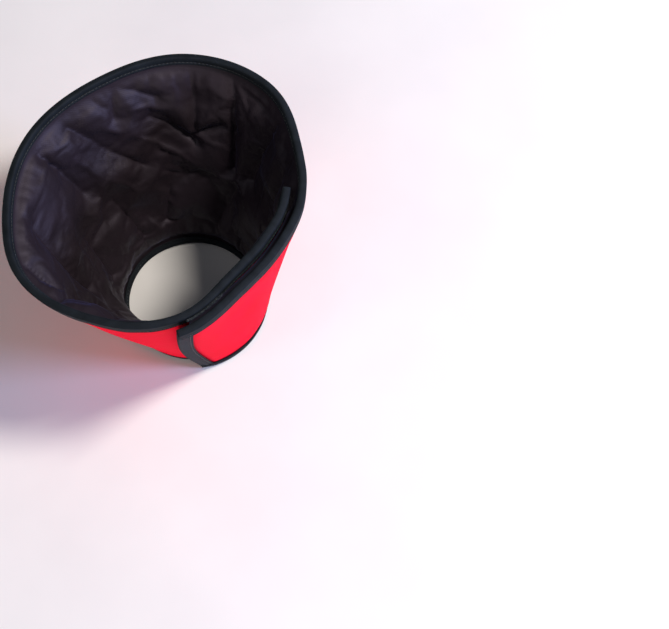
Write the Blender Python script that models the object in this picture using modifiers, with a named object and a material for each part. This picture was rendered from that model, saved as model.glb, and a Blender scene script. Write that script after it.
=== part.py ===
"""Soft elizabethan collar for a small dog.

One flat padded panel, a ring sector, is wrapped a turn and a quarter into a cone.
The flap end lies outside at the throat, the other end is tucked inside, and hook
and loop tape holds the two layers. Folded tape binds the panel's four edges.

The collar stands on its neck edge with the mouth up: +Z runs up the collar, -Y is
the throat side, and the origin is the middle of the footprint, on the floor.
"Turn" is the angle round the wrap from the flap end, in degrees, anticlockwise from
above. "Height" is the share of the way from the neck edge up the slope to the rim.
"""
from math import cos, exp, pi, radians, sin

import bmesh
import bpy
from mathutils import Vector
from mathutils.geometry import tessellate_polygon

# Panel
NECK_RADIUS = 0.057
PANEL_WIDTH = 0.188
WRAP_TURN = 457.0
END_SLANT = 8.0
END_CURVE = 3.5
END_BULGE = 2.5
FLAP_AZIMUTH = -87.0

# Cloth
SHELL_THICKNESS = 0.0035
LINING_THICKNESS = 0.0010
BINDING_THICKNESS = 0.0009
BINDING_WIDTH = 0.010
BINDING_TURNED_IN = 0.006
CLEARANCE = 0.0003

# Overlap of the two layers
TUCK_START = 282.0
TUCK_TURN = 48.0
LAYER_CLEARANCE = 0.0006
RIM_GAPE = 0.0045

# Hook and loop tape
TAPE_THICKNESS = 0.0009
TAPE_WIDTH = 0.025
TAPE_INSET = 0.006

# Puckered lining
PUFF = 0.0042
PUFF_EDGE = 0.014

# Mesh steps
WRAP_STEPS = 68
SHELL_ROWS = 10
LINING_ROWS = 12
TAPE_COLUMNS = 4

# Slope of the wall from the vertical, a row each 30 degrees of turn:
# least at the throat's right side, most at the left and the back.
SLOPE_STEP = 30.0
SLOPES = [15.5, 9.0, 8.0, 10.5, 14.0, 22.0, 25.5, 24.0, 25.0, 24.0, 24.0, 20.5]

# Creases that pull the lining back to the shell, a row each. The width is a share of
# the panel's width, the depth a share of the puff.
CREASE_COLUMNS = ("turn_a", "height_a", "turn_b", "height_b", "width", "depth")
CREASES = [
    (244, 0.96, 238, 0.58, 0.045, 1.00),
    (207, 0.94, 209, 0.80, 0.040, 0.90),
    (207, 0.94, 192, 0.83, 0.040, 0.90),
    (228, 0.89, 218, 0.67, 0.050, 1.00),
    (218, 0.67, 205, 0.52, 0.050, 0.80),
    (196, 0.74, 176, 0.59, 0.045, 0.90),
    (178, 0.95, 176, 0.64, 0.040, 0.80),
    (162, 0.96, 155, 0.49, 0.045, 1.00),
    (173, 0.65, 163, 0.70, 0.040, 0.70),
    (136, 0.96, 142, 0.50, 0.050, 1.00),
    (132, 0.96, 117, 0.90, 0.040, 0.70),
    (158, 0.91, 146, 0.92, 0.035, 0.60),
    (270, 0.82, 284, 0.40, 0.055, 1.00),
    (284, 0.97, 299, 0.84, 0.040, 0.90),
    (308, 0.90, 300, 0.42, 0.050, 0.80),
    (255, 0.45, 262, 0.20, 0.055, 0.70),
    (330, 0.86, 345, 0.40, 0.050, 0.70),
    (375, 0.84, 366, 0.38, 0.050, 0.70),
    (405, 0.84, 398, 0.40, 0.050, 0.70),
    (190, 0.40, 200, 0.18, 0.055, 0.60),
]

SHELL_FACE = CLEARANCE / 2
LINING_FACE = -CLEARANCE / 2
OUTER_LEG = SHELL_FACE + SHELL_THICKNESS + CLEARANCE
INNER_LEG = LINING_FACE - LINING_THICKNESS - CLEARANCE
BINDING_OUTSIDE = OUTER_LEG + BINDING_THICKNESS
BINDING_INSIDE = INNER_LEG - BINDING_THICKNESS
WALL_THICKNESS = SHELL_THICKNESS + CLEARANCE + LINING_THICKNESS
BETWEEN_LAYERS = 2 * max(BINDING_THICKNESS, TAPE_THICKNESS) + 2 * CLEARANCE + LAYER_CLEARANCE
LAYER_PITCH = WALL_THICKNESS + BETWEEN_LAYERS
LEG = (BINDING_WIDTH + CLEARANCE) / PANEL_WIDTH

# The wall is made of flat columns, so its thick edge leans out by half a column's turn.
EDGE_LEAN = SHELL_THICKNESS * sin(radians(WRAP_TURN / WRAP_STEPS / 2))
EDGE_GAP = CLEARANCE + EDGE_LEAN

# A flat column lies inside the round wall by up to this at the rim.
COLUMN_SAG = (NECK_RADIUS + PANEL_WIDTH / 3) * (1.0 - cos(radians(WRAP_TURN / WRAP_STEPS / 2)))


def smooth(share):
    """Ease from 0 to 1."""
    share = min(1.0, max(0.0, share))
    return share * share * (3.0 - 2.0 * share)


def slope_at(turn):
    """Slope of the wall in radians, a smooth closed curve through the rows of SLOPES."""
    place = (turn % 360.0) / SLOPE_STEP
    row = int(place)
    t = place - row
    before, here, after, beyond = [SLOPES[(row + k) % len(SLOPES)] for k in (-1, 0, 1, 2)]
    bend = 2 * before - 5 * here + 4 * after - beyond
    twist = 3 * here - before - 3 * after + beyond
    return radians(here + 0.5 * ((after - before) * t + bend * t ** 2 + twist * t ** 3))


def tuck_at(turn, height):
    """How far the wall lies inside the outer layer."""
    gape = RIM_GAPE * smooth(2.0 * height - 1.0)
    return smooth((turn - TUCK_START) / TUCK_TURN) * (LAYER_PITCH + gape)


def wall_point(turn, height):
    """Point of the face where shell and lining meet."""
    azimuth = radians(turn + FLAP_AZIMUTH)
    outward = Vector((cos(azimuth), sin(azimuth), 0.0))
    slope = slope_at(turn)
    radius = NECK_RADIUS - tuck_at(turn, height) / cos(slope)
    along = height * PANEL_WIDTH
    return outward * (radius + along * sin(slope)) + Vector((0.0, 0.0, along * cos(slope)))


def wall_frame(turn, height):
    """Unit vectors up the slope, round the wrap and out of the wall."""
    up = (wall_point(turn, height + 0.01) - wall_point(turn, height - 0.01)).normalized()
    around = (wall_point(turn + 0.5, height) - wall_point(turn - 0.5, height)).normalized()
    return up, around, around.cross(up).normalized()


def offset_point(turn, height, out):
    """Point at a distance out of the wall, negative on the lining's side."""
    return wall_point(turn, height) + wall_frame(turn, height)[2] * out


def flap_turn(height):
    """Turn of the flap end, which bows back in the middle and slants in at the neck."""
    height = min(1.0, max(0.0, height))
    return END_SLANT * (1.0 - height) ** END_CURVE - END_BULGE * sin(pi * height)


def panel_turn(share, height):
    """Turn of a point that lies a share of the way from the flap end to the tucked end."""
    start = flap_turn(height)
    return start + share * (WRAP_TURN - start)


def turn_per_metre(turn, height):
    """Degrees of turn in a metre round the wrap."""
    step = wall_point(turn + 0.5, height) - wall_point(turn - 0.5, height)
    return 1.0 / step.length


def neck_height(turn):
    """Height at which shell and lining start, so that they clear the folded neck tape."""
    slope = slope_at(turn)
    floor = BINDING_THICKNESS + CLEARANCE + (SHELL_THICKNESS + CLEARANCE) * sin(slope)
    return floor / (PANEL_WIDTH * cos(slope))


def panel_heights(share, rows):
    """Heights of a column's points: the neck edge, even steps between the tapes, the rim."""
    first = neck_height(panel_turn(share, 0.0))
    return [first, *(LEG + (1.0 - 2.0 * LEG) * row / rows for row in range(rows + 1)), 1.0]


def crease_depth(turn, height):
    """How much of the puff the creases take away here, from 0 to 1."""
    radius = NECK_RADIUS + height * PANEL_WIDTH * sin(slope_at(turn))
    depth = 0.0
    for row in CREASES:
        crease = dict(zip(CREASE_COLUMNS, row))
        start = Vector((radians(crease["turn_a"] - turn) * radius,
                        (crease["height_a"] - height) * PANEL_WIDTH))
        end = Vector((radians(crease["turn_b"] - turn) * radius,
                      (crease["height_b"] - height) * PANEL_WIDTH))
        run = end - start
        share = min(1.0, max(0.0, -start.dot(run) / run.length_squared))
        distance = (start + run * share).length / (crease["width"] * PANEL_WIDTH)
        depth = max(depth, crease["depth"] * exp(-distance ** 2))
    return depth


def puff_at(turn, height):
    """How far the lining stands off the shell: nothing under the tapes or in the overlap."""
    edge = PUFF_EDGE / PANEL_WIDTH
    edge_turn = PUFF_EDGE * turn_per_metre(turn, height)
    tape_turn = BINDING_WIDTH * turn_per_metre(turn, height) + WRAP_TURN / WRAP_STEPS
    mask = smooth((height - LEG) / edge) * smooth((1.0 - LEG - height) / edge)
    mask *= smooth((turn - (WRAP_TURN - 360.0)) / edge_turn)
    mask *= smooth((WRAP_TURN - turn - tape_turn) / edge_turn)
    return PUFF * mask * (1.0 - crease_depth(turn, height))


def material(name, color, roughness):
    """Plain cloth colour."""
    made = bpy.data.materials.new(name)
    made.use_nodes = True
    shader = made.node_tree.nodes["Principled BSDF"]
    shader.inputs["Base Color"].default_value = (*color, 1.0)
    shader.inputs["Roughness"].default_value = roughness
    shader.inputs["Metallic"].default_value = 0.0
    return made


def add_object(name, mesh, finish):
    """Put a mesh into the collar's collection with its material."""
    mesh.materials.append(finish)
    mesh.shade_smooth()
    mesh.set_sharp_from_angle(angle=radians(40))
    made = bpy.data.objects.new(name, mesh)
    collection.objects.link(made)
    return made


def grid_mesh(name, columns):
    """Open surface through columns of points that run up, its faces turned out of the cone."""
    bm = bmesh.new()
    lines = [[bm.verts.new(point) for point in column] for column in columns]
    for line, following in zip(lines, lines[1:]):
        for a, b, c, d in zip(line, following, following[1:], line[1:]):
            bm.faces.new((a, b, c, d))
    mesh = bpy.data.meshes.new(name)
    bm.to_mesh(mesh)
    bm.free()
    return mesh


def cloth(name, columns, thickness, side, finish):
    """Sheet of one thickness on a surface, on its outer side (1) or its inner side (-1)."""
    sheet = add_object(name, grid_mesh(name, columns), finish)
    solidify = sheet.modifiers.new("Thickness", "SOLIDIFY")
    solidify.thickness = thickness
    solidify.offset = side
    return sheet


def loft(name, profile, sections, finish):
    """Closed body through sections that follow one flat profile, with both ends capped."""
    bm = bmesh.new()
    rings = [[bm.verts.new(point) for point in section] for section in sections]
    for ring, following in zip(rings, rings[1:]):
        for k in range(len(ring)):
            after = (k + 1) % len(ring)
            bm.faces.new((ring[k], ring[after], following[after], following[k]))
    for triangle in tessellate_polygon([[Vector((x, y, 0.0)) for x, y in profile]]):
        bm.faces.new([rings[0][k] for k in triangle])
        bm.faces.new([rings[-1][k] for k in triangle])
    bmesh.ops.recalc_face_normals(bm, faces=bm.faces)
    mesh = bpy.data.meshes.new(name)
    bm.to_mesh(mesh)
    bm.free()
    return add_object(name, mesh, finish)


def outer_shell():
    """Red foam-backed cloth, the outside of the panel."""
    columns = []
    for column in range(WRAP_STEPS + 1):
        share = column / WRAP_STEPS
        columns.append([offset_point(panel_turn(share, height), height, SHELL_FACE)
                        for height in panel_heights(share, SHELL_ROWS)])
    return cloth("outer_shell", columns, SHELL_THICKNESS, 1, red_cloth)


def lining():
    """Black puckered cloth, the inside of the panel."""
    columns = []
    for column in range(WRAP_STEPS + 1):
        share = column / WRAP_STEPS
        points = []
        for height in panel_heights(share, LINING_ROWS):
            turn = panel_turn(share, height)
            points.append(offset_point(turn, height, LINING_FACE - puff_at(turn, height)))
        columns.append(points)
    return cloth("lining", columns, LINING_THICKNESS, -1, black_cloth)


def edge_turns(height):
    """Turns of a long edge's sections, past both ends by the end tapes' thickness."""
    past = EDGE_GAP + BINDING_THICKNESS
    turns = [panel_turn(column / WRAP_STEPS, height) for column in range(WRAP_STEPS + 1)]
    first = turns[0] - past * turn_per_metre(turns[0], height)
    last = turns[-1] + past * turn_per_metre(turns[-1], height)
    return [first, *turns, last]


def rim_binding():
    """Tape folded over the rim edge, with two rounded corners."""
    edge = CLEARANCE
    top = edge + BINDING_THICKNESS
    profile = [
        (BINDING_OUTSIDE, -BINDING_WIDTH), (BINDING_OUTSIDE, edge), (OUTER_LEG, top),
        (INNER_LEG, top), (BINDING_INSIDE, edge), (BINDING_INSIDE, -BINDING_TURNED_IN),
        (INNER_LEG, -BINDING_TURNED_IN), (INNER_LEG, edge), (OUTER_LEG, edge),
        (OUTER_LEG, -BINDING_WIDTH),
    ]
    sections = [[offset_point(turn, 1.0 + along / PANEL_WIDTH, out) for out, along in profile]
                for turn in edge_turns(1.0)]
    return loft("rim_binding", profile, sections, binding_tape)


def neck_binding():
    """Tape folded over the neck edge, pressed flat where the collar stands on it."""
    profile = [
        (BINDING_OUTSIDE, BINDING_WIDTH), (BINDING_OUTSIDE, 0.0),
        (BINDING_INSIDE, 0.0), (BINDING_INSIDE, BINDING_TURNED_IN),
        (INNER_LEG, BINDING_TURNED_IN), (INNER_LEG, BINDING_THICKNESS),
        (OUTER_LEG, BINDING_THICKNESS), (OUTER_LEG, BINDING_WIDTH),
    ]
    sections = []
    for turn in edge_turns(0.0):
        up = wall_frame(turn, 0.0)[0]
        section = []
        for out, level in profile:
            point = offset_point(turn, 0.0, out)
            section.append(point + up * ((level - point.z) / up.z))
        sections.append(section)
    return loft("neck_binding", profile, sections, binding_tape)


def end_binding(name, share, inward):
    """Tape folded over a short edge, between the rim tape and the neck tape.

    share is the edge's place round the wrap, 0 or 1, and inward is the way from the
    edge into the panel, 1 or -1.
    """
    back = -EDGE_GAP
    fold = back - BINDING_THICKNESS
    leg = (BINDING_WIDTH, BINDING_WIDTH / 2, back)
    inner_leg = INNER_LEG - COLUMN_SAG
    inside = BINDING_INSIDE - COLUMN_SAG
    profile = [
        *((BINDING_OUTSIDE, into) for into in leg), (OUTER_LEG, fold),
        (inner_leg, fold), *((inside, into) for into in reversed(leg)),
        *((inner_leg, into) for into in leg), *((OUTER_LEG, into) for into in reversed(leg)),
    ]
    slope = slope_at(panel_turn(share, 0.0))
    low = (BINDING_WIDTH + CLEARANCE + BINDING_OUTSIDE * sin(slope)) / (PANEL_WIDTH * cos(slope))
    sections = []
    for height in [low, *panel_heights(share, SHELL_ROWS)[2:-1]]:
        turn = panel_turn(share, height)
        section = []
        for out, into in profile:
            place = turn + inward * into * turn_per_metre(turn, height)
            section.append(offset_point(place, height, out))
        sections.append(section)
    return loft(name, profile, sections, binding_tape)


def closure_tape(lap, face):
    """Columns of a strip of hook or loop tape beside the flap end.

    lap is the turn added for the layer that the strip lies on, and face is the strip's
    own distance out of the wall.
    """
    clear = BINDING_WIDTH + CLEARANCE + TAPE_INSET
    low = clear / PANEL_WIDTH
    columns = []
    for column in range(TAPE_COLUMNS + 1):
        into = clear + TAPE_WIDTH * column / TAPE_COLUMNS
        points = []
        for step in range(SHELL_ROWS + 1):
            height = low + (1.0 - 2.0 * low) * step / SHELL_ROWS
            start = flap_turn(height)
            turn = lap + start + into * turn_per_metre(start, height)
            points.append(offset_point(turn, height, face))
        columns.append(points)
    return columns


def hook_tape():
    """Hook tape on the lining side of the flap."""
    columns = closure_tape(0.0, LINING_FACE - LINING_THICKNESS - CLEARANCE)
    return cloth("hook_tape", columns, TAPE_THICKNESS, -1, closure_black)


def loop_tape():
    """Loop tape on the shell side of the layer under the flap."""
    columns = closure_tape(360.0, SHELL_FACE + SHELL_THICKNESS + CLEARANCE)
    return cloth("loop_tape", columns, TAPE_THICKNESS, 1, closure_black)


def centre_on_footprint(pieces):
    """Move the pieces so that the middle of their box is over the origin."""
    points = [vertex.co for piece in pieces for vertex in piece.data.vertices]
    middle = [(min(p[axis] for p in points) + max(p[axis] for p in points)) / 2 for axis in (0, 1)]
    for piece in pieces:
        for vertex in piece.data.vertices:
            vertex.co.x -= middle[0]
            vertex.co.y -= middle[1]


for old in list(bpy.data.objects):
    bpy.data.objects.remove(old)

collection = bpy.data.collections.new("elizabethan_collar")
bpy.context.scene.collection.children.link(collection)

red_cloth = material("red_cloth", (0.85, 0.012, 0.035), 0.75)
black_cloth = material("black_cloth", (0.022, 0.018, 0.030), 0.60)
binding_tape = material("binding_tape", (0.020, 0.028, 0.036), 0.80)
closure_black = material("closure_black", (0.010, 0.014, 0.018), 0.95)

centre_on_footprint([
    outer_shell(),
    lining(),
    rim_binding(),
    neck_binding(),
    end_binding("flap_end_binding", 0, 1),
    end_binding("tuck_end_binding", 1, -1),
    hook_tape(),
    loop_tape(),
])
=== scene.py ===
# %% [markdown]
# # A soft elizabethan collar
#
# The collar is one flat padded panel, wrapped a turn and a quarter into a cone and
# closed with hook and loop tape. Red woven cloth on thin foam is its outside, thin
# black nylon puckers on its inside, and folded tape binds all four edges.
#
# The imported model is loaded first. It is the frame that every visible piece is fitted
# to, so nothing here changes a size.

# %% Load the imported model
from math import cos, pi, radians, sin

import bmesh
import bpy
import numpy as np
from mathutils import Matrix, Vector


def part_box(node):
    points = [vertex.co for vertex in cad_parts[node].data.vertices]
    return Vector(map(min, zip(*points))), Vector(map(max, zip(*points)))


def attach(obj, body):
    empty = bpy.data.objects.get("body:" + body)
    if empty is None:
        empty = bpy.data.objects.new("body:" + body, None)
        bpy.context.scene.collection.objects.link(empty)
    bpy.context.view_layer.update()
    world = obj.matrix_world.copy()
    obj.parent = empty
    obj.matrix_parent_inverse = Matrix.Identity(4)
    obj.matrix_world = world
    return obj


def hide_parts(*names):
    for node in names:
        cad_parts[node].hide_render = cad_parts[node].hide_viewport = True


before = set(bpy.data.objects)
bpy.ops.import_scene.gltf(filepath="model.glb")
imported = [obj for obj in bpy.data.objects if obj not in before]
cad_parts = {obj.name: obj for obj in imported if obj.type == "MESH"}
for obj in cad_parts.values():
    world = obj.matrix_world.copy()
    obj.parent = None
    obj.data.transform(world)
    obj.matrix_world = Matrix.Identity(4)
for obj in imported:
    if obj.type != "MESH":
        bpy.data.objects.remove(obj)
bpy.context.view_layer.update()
print("CAD nodes:", sorted(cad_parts))


# %% Add a thing to the scene
def add_object(name, data):
    """Object at the origin that carries a mesh, a camera or a light."""
    made = bpy.data.objects.new(name, data)
    bpy.context.scene.collection.objects.link(made)
    return made


# %% [markdown]
# ## The panel's own coordinates
#
# Every piece of a sewn thing lies on the same cloth, so every piece is placed in the
# cloth's own coordinates. `turn` is the angle round the wrap in degrees, from 0 at the
# flap end to 457 at the tucked end. `height` is the share of the way from the neck edge
# up the slope to the rim. A third value, `out`, is the distance out of the wall.
#
# The wall is a cone whose slope changes round the neck, so that the mouth leans to one
# side. All of it is worked out for whole arrays of points at once, which keeps a fine
# mesh quick to make.

# %% Sizes of the panel
NECK_RADIUS = 0.057
PANEL_WIDTH = 0.188
WRAP_TURN = 457.0
LAP_TURN = WRAP_TURN - 360.0
END_SLANT = 8.0
END_CURVE = 3.5
END_BULGE = 2.5
FLAP_AZIMUTH = -87.0

SHELL_THICKNESS = 0.0035
LINING_THICKNESS = 0.0010
BINDING_THICKNESS = 0.0009
BINDING_WIDTH = 0.010
BINDING_TURNED_IN = 0.006
CLEARANCE = 0.0003

TUCK_START = 282.0
TUCK_TURN = 48.0
LAYER_CLEARANCE = 0.0006
RIM_GAPE = 0.0045

TAPE_THICKNESS = 0.0009
TAPE_WIDTH = 0.025
TAPE_INSET = 0.006

SLOPE_STEP = 30.0
SLOPES = np.array([15.5, 9.0, 8.0, 10.5, 14.0, 22.0, 25.5, 24.0, 25.0, 24.0, 24.0, 20.5])

SHELL_FACE = CLEARANCE / 2
LINING_FACE = -CLEARANCE / 2
OUTER_LEG = SHELL_FACE + SHELL_THICKNESS + CLEARANCE
INNER_LEG = LINING_FACE - LINING_THICKNESS - CLEARANCE
BINDING_OUTSIDE = OUTER_LEG + BINDING_THICKNESS
BINDING_INSIDE = INNER_LEG - BINDING_THICKNESS
WALL_THICKNESS = SHELL_THICKNESS + CLEARANCE + LINING_THICKNESS
BETWEEN_LAYERS = 2 * max(BINDING_THICKNESS, TAPE_THICKNESS) + 2 * CLEARANCE + LAYER_CLEARANCE
LAYER_PITCH = WALL_THICKNESS + BETWEEN_LAYERS


# %% From the panel's coordinates to space
HEIGHT_STEP = 0.01
TURN_STEP = 0.5


def smooth(share):
    """Ease from 0 to 1."""
    share = np.clip(share, 0.0, 1.0)
    return share * share * (3.0 - 2.0 * share)


def slope_at(turn):
    """Slope of the wall from the vertical, in radians, smooth through the rows of SLOPES."""
    place = np.mod(turn, 360.0) / SLOPE_STEP
    row = np.floor(place).astype(int)
    t = place - row
    before, here, after, beyond = [SLOPES[(row + k) % len(SLOPES)] for k in (-1, 0, 1, 2)]
    bend = 2 * before - 5 * here + 4 * after - beyond
    twist = 3 * here - before - 3 * after + beyond
    return np.radians(here + 0.5 * ((after - before) * t + bend * t ** 2 + twist * t ** 3))


def tuck_at(turn, height):
    """How far the wall lies inside the outer layer. The slot gapes over the upper half."""
    gape = RIM_GAPE * smooth(2.0 * height - 1.0)
    return smooth((turn - TUCK_START) / TUCK_TURN) * (LAYER_PITCH + gape)


def cone_point(turn, height):
    """Points where shell and lining meet, with the neck ring round the origin."""
    azimuth = np.radians(turn + FLAP_AZIMUTH)
    slope = slope_at(turn)
    along = height * PANEL_WIDTH
    radius = NECK_RADIUS - tuck_at(turn, height) / np.cos(slope) + along * np.sin(slope)
    return np.stack([radius * np.cos(azimuth), radius * np.sin(azimuth),
                     along * np.cos(slope)], axis=-1)


def unit(vectors):
    return vectors / np.linalg.norm(vectors, axis=-1, keepdims=True)


def wall_frame(turn, height):
    """Unit vectors up the slope, round the wrap and out of the wall."""
    up = unit(cone_point(turn, height + HEIGHT_STEP) - cone_point(turn, height - HEIGHT_STEP))
    around = unit(cone_point(turn + TURN_STEP, height) - cone_point(turn - TURN_STEP, height))
    return up, around, unit(np.cross(around, up))


def turn_per_metre(turn, height):
    """Degrees of turn in a metre round the wrap."""
    step = cone_point(turn + TURN_STEP, height) - cone_point(turn - TURN_STEP, height)
    return 2 * TURN_STEP / np.linalg.norm(step, axis=-1)


def flap_turn(height):
    """Turn of the flap end, which bows back in the middle and slants in at the neck."""
    height = np.clip(height, 0.0, 1.0)
    return END_SLANT * (1.0 - height) ** END_CURVE - END_BULGE * np.sin(pi * height)


def panel_turn(share, height):
    """Turn of a point that lies a share of the way from the flap end to the tucked end."""
    start = flap_turn(height)
    return start + share * (WRAP_TURN - start)


# %% [markdown]
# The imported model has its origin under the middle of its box, and the formulas above
# have theirs in the neck ring. The difference is measured once, on the rim tape.

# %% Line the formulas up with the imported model
LINE_SAMPLES = 400


def cone_offset(turn, height, out):
    return cone_point(turn, height) + wall_frame(turn, height)[2] * np.expand_dims(out, -1)


rim_turns = np.linspace(0.0, WRAP_TURN, LINE_SAMPLES)
rim_line = cone_offset(rim_turns, 1.0 + CLEARANCE / PANEL_WIDTH,
                       np.full(LINE_SAMPLES, BINDING_OUTSIDE))
rim_low, rim_high = (np.array(corner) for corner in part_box("rim_binding"))
neck_centre = (rim_low + rim_high) / 2 - (rim_line.min(axis=0) + rim_line.max(axis=0)) / 2
neck_centre[2] = 0.0
print("neck ring centre:", neck_centre.round(5))


def place(turn, height, out):
    """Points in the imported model's frame."""
    turn, height, out = np.broadcast_arrays(turn, height, out)
    return cone_offset(turn, height, out) + neck_centre


# %% [markdown]
# ## Camera
#
# The camera looks down into the mouth, as in the photograph, from 1.5 m. Its place
# follows from three readings of the photograph: where the middle of the neck ring
# would be seen, how many pixels a millimetre spans there, and the angle of view.

# %% Camera
IMAGE_WIDTH, IMAGE_HEIGHT = 669, 629
NECK_PIXEL = (194.4, 301.6)
PIXELS_PER_METRE = 1169.0
CAMERA_DISTANCE = 1.5
CAMERA_ELEVATION = 66.0
CAMERA_ROLL = 2.0


def add_camera():
    """Camera aimed so that the neck ring's middle falls on its pixel."""
    elevation = radians(CAMERA_ELEVATION)
    forward = Vector((0.0, cos(elevation), -sin(elevation)))
    level_right = Vector((1.0, 0.0, 0.0))
    level_up = level_right.cross(forward)
    roll = radians(CAMERA_ROLL)
    right = level_right * cos(roll) + level_up * sin(roll)
    up = level_up * cos(roll) - level_right * sin(roll)
    across = (NECK_PIXEL[0] - IMAGE_WIDTH / 2) / PIXELS_PER_METRE
    rise = (IMAGE_HEIGHT / 2 - NECK_PIXEL[1]) / PIXELS_PER_METRE
    eye = Vector(neck_centre) - right * across - up * rise - forward * CAMERA_DISTANCE
    data = bpy.data.cameras.new("camera")
    data.sensor_width = 36.0
    data.lens = PIXELS_PER_METRE * CAMERA_DISTANCE / IMAGE_WIDTH * data.sensor_width
    data.clip_end = 20.0
    camera = add_object("camera", data)
    camera.matrix_world = Matrix((
        (right.x, up.x, -forward.x, eye.x),
        (right.y, up.y, -forward.y, eye.y),
        (right.z, up.z, -forward.z, eye.z),
        (0.0, 0.0, 0.0, 1.0),
    ))
    bpy.context.scene.camera = camera
    print("camera at", [round(c, 3) for c in eye], "lens", round(data.lens, 1), "mm")


add_camera()


# %% [markdown]
# ## A helper for materials
#
# A node tree reads best as a list of nodes, each with its settings and what feeds it.
# One function adds a node that way, and another feeds the shader at the end. Colours are
# written as sRGB hex, as a picker shows them, and turned to the linear values that the
# shader works in.

# %% Node and colour helpers
def linear(code):
    """sRGB hex to a linear colour."""
    channels = [int(code[k:k + 2], 16) / 255.0 for k in (1, 3, 5)]
    return (*[c / 12.92 if c <= 0.04045 else ((c + 0.055) / 1.055) ** 2.4
              for c in channels], 1.0)


def node(tree, kind, settings=None, **inputs):
    """Add a node. An input is a value, or an output socket that is linked to it. Inputs
    go by their names, and by i and a number where several share a name."""
    made = tree.nodes.new(kind)
    for name, value in (settings or {}).items():
        setattr(made, name, value)
    for name, value in inputs.items():
        numbered = name[0] == "i" and name[1:].isdigit()
        socket = made.inputs[int(name[1:]) if numbered else name.replace("_", " ")]
        if isinstance(value, bpy.types.NodeSocket):
            tree.links.new(value, socket)
        else:
            socket.default_value = value
    return made


def new_material(name):
    """Empty material with its Principled shader."""
    made = bpy.data.materials.new(name)
    made.use_nodes = True
    return made, made.node_tree, made.node_tree.nodes["Principled BSDF"]


def feed(tree, shader, colour, bump=None, **values):
    """Link a shader's colour and bump, and set its constants."""
    tree.links.new(colour.outputs[0], shader.inputs["Base Color"])
    if bump:
        tree.links.new(bump.outputs[0], shader.inputs["Normal"])
    for name, value in values.items():
        shader.inputs[name.replace("_", " ")].default_value = value


def ramp(tree, factor, stops):
    """Colour ramp with stops of (position, hex colour)."""
    made = node(tree, "ShaderNodeValToRGB", i0=factor)
    elements = made.color_ramp.elements
    while len(elements) < len(stops):
        elements.new(0.5)
    for element, (position, code) in zip(elements, stops):
        element.position = position
        element.color = linear(code)
    return made


# %% [markdown]
# Cloth patterns follow the threads, not space. Each cloth piece therefore carries a UV
# map in metres along and across the wrap, and a weave drawn from it stays square to the
# edges all the way round.

# %% [markdown]
# ### Red shell cloth
#
# A plain woven nylon of about 0.45 mm between threads, dyed a strong red. It is matt
# with hardly any sheen, so it stays one flat red as it turns away from the light. The
# weave is too fine to show at this distance, so it is drawn at 0.9 mm.

# %% Red nylon
WEAVE_DRAWN = 0.0009
DYE_PATCH = 0.030
CREPE = 0.006


def weave_height(tree, spacing):
    """Plain weave: threads that pass over and under, as one height."""
    uv = node(tree, "ShaderNodeUVMap", {"uv_map": "cloth"}).outputs[0]
    axes = node(tree, "ShaderNodeSeparateXYZ", i0=uv)
    waves = []
    for axis in (0, 1):
        angle = node(tree, "ShaderNodeMath", {"operation": "MULTIPLY"},
                     i0=axes.outputs[axis], i1=pi / spacing)
        waves.append(node(tree, "ShaderNodeMath", {"operation": "SINE"}, i0=angle.outputs[0]))
    crossed = node(tree, "ShaderNodeMath", {"operation": "MULTIPLY"},
                   i0=waves[0].outputs[0], i1=waves[1].outputs[0])
    return crossed.outputs[0], uv


def red_nylon():
    material, tree, shader = new_material("red_nylon")
    weave, uv = weave_height(tree, WEAVE_DRAWN)
    patches = node(tree, "ShaderNodeTexNoise", Scale=1.0 / DYE_PATCH, Detail=3.0,
                   Vector=uv)
    crepe = node(tree, "ShaderNodeTexNoise", Scale=1.0 / CREPE, Detail=4.0, Vector=uv)
    tone = ramp(tree, patches.outputs[0], [(0.3, "#f2062a"), (0.7, "#f80934")])
    fine = node(tree, "ShaderNodeBump", Strength=0.25, Distance=0.00012, Height=weave)
    broad = node(tree, "ShaderNodeBump", Strength=0.5, Distance=0.0006,
                 Height=crepe.outputs[0], Normal=fine.outputs[0])
    feed(tree, shader, tone, broad, Roughness=0.72, Sheen_Weight=0.02, Sheen_Roughness=0.45,
         Sheen_Tint=linear("#ff6070"), Specular_IOR_Level=0.04)
    return material


# %% [markdown]
# ### Black lining
#
# A thin black nylon taffeta. Black dye on such cloth is never neutral: it reflects a
# little purple, and where light grazes a pillow it turns blue-grey. Fine crumples about
# 10 mm apart lie between the big puckers, so a bump carries them.

# %% Black taffeta
CRUMPLE = 0.011
CREASE_LINES = 0.020


def black_taffeta():
    material, tree, shader = new_material("black_taffeta")
    weave, uv = weave_height(tree, WEAVE_DRAWN)
    patches = node(tree, "ShaderNodeTexNoise", Scale=1.0 / DYE_PATCH, Detail=4.0,
                   Vector=uv)
    crumple = node(tree, "ShaderNodeTexNoise", Scale=1.0 / CRUMPLE, Detail=5.0,
                   Roughness=0.55, Distortion=0.6, Vector=uv)
    lines = node(tree, "ShaderNodeTexNoise", {"noise_type": "RIDGED_MULTIFRACTAL"},
                 Scale=1.0 / CREASE_LINES, Detail=2.0, Distortion=0.4, Vector=uv)
    tone = ramp(tree, patches.outputs[0], [(0.3, "#1a1317"), (0.7, "#231b21")])
    fine = node(tree, "ShaderNodeBump", Strength=0.2, Distance=0.00010, Height=weave)
    middle = node(tree, "ShaderNodeBump", Strength=0.45, Distance=0.0010,
                  Height=crumple.outputs[0], Normal=fine.outputs[0])
    broad = node(tree, "ShaderNodeBump", Strength=0.25, Distance=0.0010,
                 Height=lines.outputs[0], Normal=middle.outputs[0])
    feed(tree, shader, tone, broad, Roughness=0.58, Sheen_Weight=0.20, Sheen_Roughness=0.30,
         Sheen_Tint=linear("#8f94d8"), Specular_IOR_Level=0.42,
         Specular_Tint=linear("#e8e0f4"))
    return material


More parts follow.
